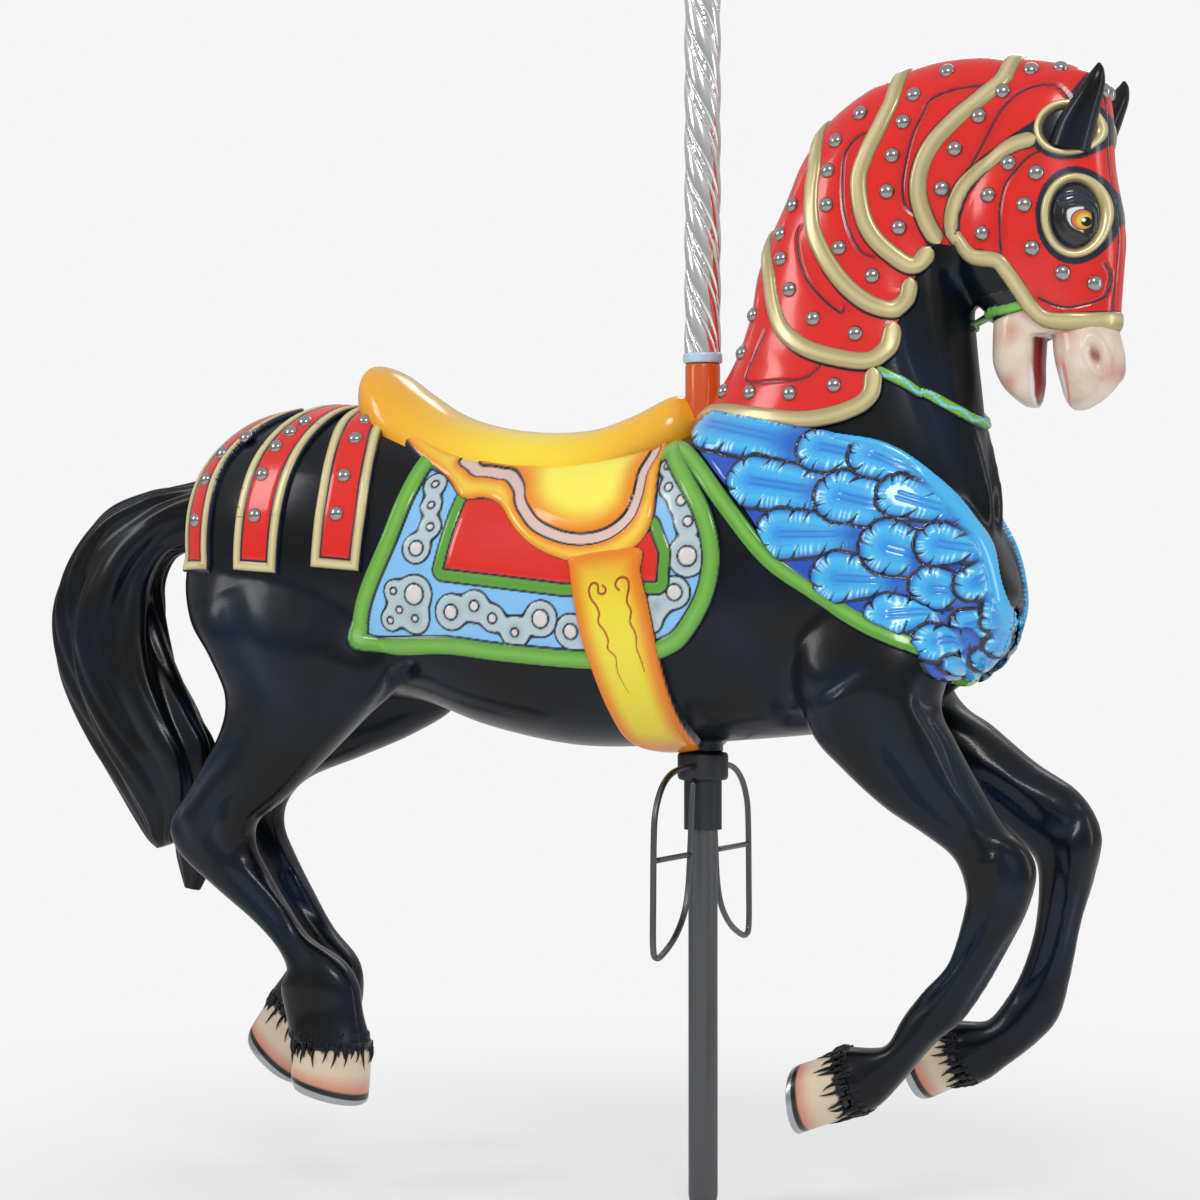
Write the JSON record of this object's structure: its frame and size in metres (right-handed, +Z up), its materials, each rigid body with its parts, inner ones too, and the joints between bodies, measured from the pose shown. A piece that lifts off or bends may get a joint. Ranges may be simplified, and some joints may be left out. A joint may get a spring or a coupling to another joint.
{
  "type": "carousel jumper horse on its pole",
  "caption": "Leaping carousel horse in parade armour with wings, saddle and blanket, carried by a steel pole with a twisted sleeve and foot rests.",
  "frame": {"origin": "centre of the pole's flat foot, where it stands in the ride's floor", "axes": "+Z up along the pole, +X towards the horse's head, +Y to the horse's left"},
  "size_m": [1.664, 0.3776, 1.85],
  "materials": {
    "painted_fibreglass": "moulded fibreglass in glossy black with enamel colours under a clear coat",
    "pole_steel": "dark drawn steel tube, lengthwise brushing",
    "bright_sleeve": "bright plated twisted tube",
    "ring_enamel": "pale blue enamel",
    "clamp_steel": "dark blackened steel",
    "rod_steel": "dark bent steel rod"
  },
  "bodies": {
    "root": {"horse": "painted_fibreglass", "pole": "pole_steel", "twisted_sleeve": "bright_sleeve", "pole_ring": "ring_enamel", "pole_clamp": "clamp_steel", "foot_rest_right": "rod_steel", "foot_rest_left": "rod_steel"}
  },
  "joints": []
}
